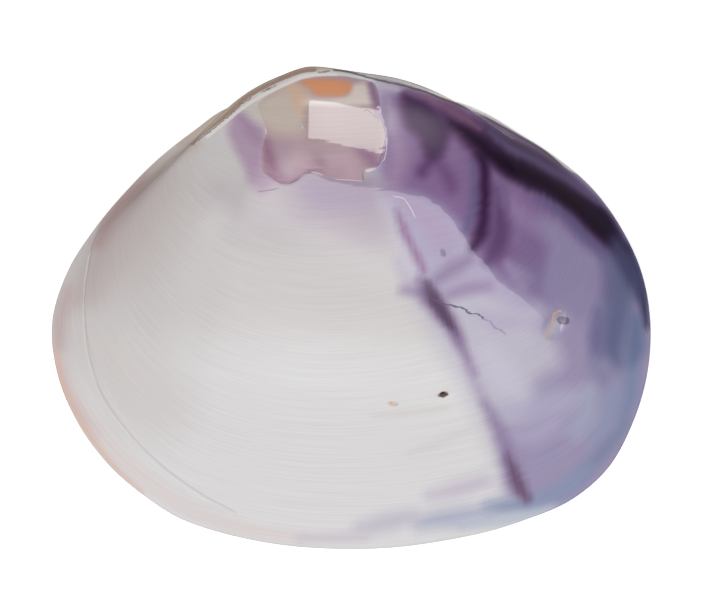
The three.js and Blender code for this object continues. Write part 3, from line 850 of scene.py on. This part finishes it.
class Tree:
    """A material's nodes, where each call adds a node and returns what it puts out."""

    def __init__(self, name, tree=None):
        if tree is None:
            self.material = bpy.data.materials.new(name)
            self.material.use_nodes = True
            tree = self.material.node_tree
        self.tree = tree
        self.tree.nodes.clear()

    def add(self, kind, inputs=None, output=0, **settings):
        node = self.tree.nodes.new(kind)
        for name, value in settings.items():
            setattr(node, name, value)
        for name, value in (inputs or {}).items():
            if isinstance(value, bpy.types.NodeSocket):
                self.tree.links.new(value, node.inputs[name])
            else:
                node.inputs[name].default_value = value
        return node.outputs[output]

    def attribute(self, name, output="Fac"):
        return self.add("ShaderNodeAttribute", output=output, attribute_name=name)

    def calc(self, operation, first, second=0.0):
        return self.add("ShaderNodeMath", {0: first, 1: second}, operation=operation)

    def between(self, value, low, high, low_out=0.0, high_out=1.0, kind="SMOOTHSTEP"):
        return self.add("ShaderNodeMapRange", {
            "Value": value, "From Min": low, "From Max": high, "To Min": low_out, "To Max": high_out,
        }, interpolation_type=kind)

    def blend(self, share, first, second, how="MIX"):
        return self.add("ShaderNodeMix", {0: share, 6: first, 7: second}, output=2,
                        data_type="RGBA", blend_type=how)

    def noise(self, vector, steps, detail=2.0, roughness=0.5):
        scaled = self.add("ShaderNodeVectorMath", {0: vector, 1: steps}, operation="MULTIPLY")
        return self.add("ShaderNodeTexNoise", {
            "Vector": scaled, "Scale": 1.0, "Detail": detail, "Roughness": roughness,
        })

    def finish(self, shader):
        end = self.tree.nodes.new("ShaderNodeOutputMaterial")
        self.tree.links.new(shader, end.inputs["Surface"])
        return self.material


def rgba(srgb):
    return (*linear(srgb), 1.0)


# Noise steps per unit of growth and once round, in the outside's material.
STREAKS = (260, 14, 0)
JAGS = (190, 60, 0)
RIPPLES = (110, 16, 0)
JAG_SIZE = 4.0  # px between the farthest jags where something is jagged by 1
STREAK_NOISE = (0.25, 0.75)
STREAK_TINTS = (0.945, 1.055)
WORN_EDGE = (0.7, 0.5, 1.0)  # feather, how toothed, strength
LINE_EDGE = (0.5, 1.5)  # half widths between which a line fades
RIPPLE_DEPTH = 0.00001  # metres


def outside_material():
    nodes = Tree("polished_outside")
    grain = nodes.attribute("grain", "Vector")
    growth_lines = nodes.noise(grain, STREAKS, detail=3.0, roughness=0.6)
    teeth = nodes.calc("SUBTRACT", nodes.noise(grain, JAGS), 0.5)

    def jagged(distance, amount):
        return nodes.calc("ADD", distance, nodes.calc("MULTIPLY", teeth, amount * JAG_SIZE))

    def cover(distance, feather, toothed, strength):
        return nodes.between(jagged(distance, toothed), -feather, feather, strength, 0.0)

    worn = cover(nodes.attribute("worn_edge"), *WORN_EDGE)
    colour = nodes.blend(worn, nodes.attribute("paint", "Color"), nodes.attribute("worn_paint", "Color"))
    for name, tint, strength, feather, toothed, _ in PATCHES:
        colour = nodes.blend(cover(nodes.attribute(name), feather, toothed, strength), colour, rgba(tint))
    for name, tint, strength, half, toothed, _ in LINES:
        parts = nodes.add("ShaderNodeSeparateXYZ", {0: nodes.attribute(name, "Vector")}).node.outputs
        away = nodes.calc("ABSOLUTE", jagged(parts["X"], toothed))
        near, far = (half * share for share in LINE_EDGE)
        line = nodes.between(away, near, far, strength, 0.0)
        colour = nodes.blend(nodes.calc("MULTIPLY", line, parts["Y"]), colour, rgba(tint))
    streak = nodes.between(growth_lines, *STREAK_NOISE, *STREAK_TINTS, kind="LINEAR")
    grey = nodes.add("ShaderNodeCombineColor", {0: streak, 1: streak, 2: streak})
    colour = nodes.blend(1.0, colour, grey, how="MULTIPLY")
    polish = nodes.calc("SUBTRACT", 1.0, cover(nodes.attribute("dull"), *DULL_EDGE))
    ripple = nodes.noise(grain, RIPPLES)
    bump = nodes.add("ShaderNodeBump", {"Height": ripple, "Strength": 1.0, "Distance": RIPPLE_DEPTH})
    shader = nodes.add("ShaderNodeBsdfPrincipled", {
        "Base Color": colour, "Roughness": 0.35, "IOR": 1.5, "Specular IOR Level": 0.3,
        "Coat Weight": polish, "Coat Roughness": 0.04, "Coat IOR": 1.5, "Normal": bump, "Coat Normal": bump,
    })
    return nodes.finish(shader)


def inside_material():
    nodes = Tree("nacre_inside")
    shader = nodes.add("ShaderNodeBsdfPrincipled", {
        "Base Color": nodes.attribute("paint", "Color"), "Roughness": 0.3, "IOR": 1.5,
        "Coat Weight": 0.4, "Coat Roughness": 0.1,
    })
    return nodes.finish(shader)


mesh.materials.append(outside_material())
mesh.materials.append(inside_material())
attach(valve, "root")
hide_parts("left_valve")


# The studio: a pale floor that glows, a white room, two large soft lights, and a softbox and ceiling panels
# that only the polish mirrors.
FLOOR_HALF = 3.0  # metres
FLOOR_COLOUR = (0.9, 0.9, 0.9, 1.0)
FLOOR_GLOW = 0.55
MIRRORED_FLOOR = 0.06  # the floor's light in the polish
ROOM_LIGHT = 0.72
MIRRORED_ROOM = 0.05  # the darkest that the polish mirrors
LOWEST = 0.05  # keeps the slopes of low directions finite
SIDE_SLOPE = 0.35
PANEL_CENTRE = (-0.25, 0.05)
PANEL_LIGHT = (1.3, 3.7)
PANEL_RAMP = (0.4, 0.8)  # heights of a direction between which the panels come in
DARK_SIDE = [  # a direction is dark where its products with all of these are above 0
    (1.0, 0.0, -0.475), (1.126, 1.0, -0.555), (SIDE_SLOPE, 1.0, -0.057),
]
EDGE_BLUR = 0.004
BACK_EDGE = 0.5  # y over height where the panels end on the beak side
BACK_EDGE_TURN = (-0.5, 0.25)  # x over height, from where the end is soft to where it is crisp
BACK_EDGE_END = (1.6, 0.54)
LIGHTS = [  # name, azimuth and elevation in degrees, distance and size in metres, watts, whether mirrored
    ("key", -105, 53, 0.95, (0.7, 0.5), 2.2, False),
    ("fill", 42, 46, 0.97, (0.5, 0.5), 0.5, False),
    ("softbox", 82, 21, 1.2, (0.6, 0.74), 8.0, True),
]


def floor():
    low, high = -FLOOR_HALF, FLOOR_HALF
    corners = [(low, low, 0), (high, low, 0), (high, high, 0), (low, high, 0)]
    sheet = bpy.data.meshes.new("floor")
    sheet.from_pydata(corners, [], [(0, 1, 2, 3)])
    nodes = Tree("pale_floor")
    seen = nodes.add("ShaderNodeBsdfDiffuse", {"Color": FLOOR_COLOUR})
    glow = nodes.add("ShaderNodeEmission", {"Strength": FLOOR_GLOW})
    both = nodes.add("ShaderNodeAddShader", {0: seen, 1: glow})
    mirrored = nodes.add("ShaderNodeLightPath", output="Is Glossy Ray")
    dim = nodes.add("ShaderNodeEmission", {"Strength": MIRRORED_FLOOR})
    pale = nodes.add("ShaderNodeMixShader", {0: mirrored, 1: both, 2: dim})
    behind = nodes.add("ShaderNodeNewGeometry", output="Backfacing")
    clear = nodes.add("ShaderNodeBsdfTransparent")
    one_sided = nodes.add("ShaderNodeMixShader", {0: behind, 1: pale, 2: clear})
    sheet.materials.append(nodes.finish(one_sided))
    placed = bpy.data.objects.new("floor", sheet)
    bpy.context.scene.collection.objects.link(placed)


def soft_light(name, azimuth, elevation, distance, size, power, mirrored):
    """A rectangular light aimed at the shell, which only lights it or is only mirrored in its polish."""
    turned, raised = math.radians(azimuth), math.radians(elevation)
    away = Vector((
        math.cos(turned) * math.cos(raised), math.sin(turned) * math.cos(raised), math.sin(raised)))
    light = bpy.data.lights.new(name, "AREA")
    light.shape = "RECTANGLE"
    light.size, light.size_y = size
    light.energy = power
    placed = bpy.data.objects.new(name, light)
    placed.location = away * distance
    placed.rotation_mode = "QUATERNION"
    placed.rotation_quaternion = away.to_track_quat("Z", "Y")
    placed.visible_camera = False
    placed.visible_glossy = mirrored
    placed.visible_diffuse = not mirrored
    bpy.context.scene.collection.objects.link(placed)


def room():
    """White all round, but the polish mirrors a ceiling of soft panels with a dark side to the right."""
    world = bpy.data.worlds.new("white_room")
    world.use_nodes = True
    world.node_tree.nodes.clear()
    nodes = Tree("white_room", world.node_tree)
    direction = nodes.add("ShaderNodeTexCoord", output="Generated")
    split = nodes.add("ShaderNodeSeparateXYZ", {0: direction}).node.outputs
    overhead = nodes.between(split["Z"], *PANEL_RAMP)
    dark = 1.0
    for slope in DARK_SIDE:
        inputs = {0: direction, 1: slope}
        beyond = nodes.add("ShaderNodeVectorMath", inputs, output=1, operation="DOT_PRODUCT")
        dark = nodes.calc("MULTIPLY", nodes.between(beyond, -EDGE_BLUR, EDGE_BLUR), dark)
    height = nodes.calc("MAXIMUM", split["Z"], LOWEST)
    sideways = nodes.calc("DIVIDE", split["X"], height)
    last = nodes.between(sideways, *BACK_EDGE_TURN, *BACK_EDGE_END, kind="LINEAR")
    behind = nodes.calc("DIVIDE", split["Y"], height)
    open_sky = nodes.between(behind, BACK_EDGE, last, 1.0, 0.0)
    lit = nodes.calc("MULTIPLY", nodes.calc("SUBTRACT", 1.0, dark), open_sky)
    inwards = nodes.calc("ADD", behind, nodes.calc("MULTIPLY", sideways, SIDE_SLOPE))
    light = nodes.between(inwards, *PANEL_CENTRE, *PANEL_LIGHT)
    panels = nodes.calc("MULTIPLY", nodes.calc("MULTIPLY", overhead, lit), light)
    mirrored = nodes.calc("ADD", panels, MIRRORED_ROOM)
    glossy = nodes.add("ShaderNodeLightPath", output="Is Glossy Ray")
    strength = nodes.add("ShaderNodeMix", {0: glossy, 2: ROOM_LIGHT, 3: mirrored})
    background = nodes.add("ShaderNodeBackground", {"Strength": strength})
    output = world.node_tree.nodes.new("ShaderNodeOutputWorld")
    world.node_tree.links.new(background, output.inputs["Surface"])
    bpy.context.scene.world = world


def camera():
    eye = (PHOTO_SIZE / 2 - PHOTO_ORIGIN) * PIXEL * (1, -1) + shift[:2]
    lens = bpy.data.cameras.new("camera")
    lens.sensor_width = SENSOR
    lens.lens = SENSOR * CAMERA_HEIGHT / (PHOTO_SIZE[0] * PIXEL)
    lens.clip_start, lens.clip_end = CLIPPING
    placed = bpy.data.objects.new("camera", lens)
    placed.location = (eye[0] * METRES, eye[1] * METRES, CAMERA_HEIGHT * METRES)
    bpy.context.scene.collection.objects.link(placed)
    bpy.context.scene.camera = placed


floor()
for light in LIGHTS:
    soft_light(*light)
room()
camera()
bpy.context.scene.view_settings.view_transform = "Standard"
bpy.context.scene.view_settings.look = "None"
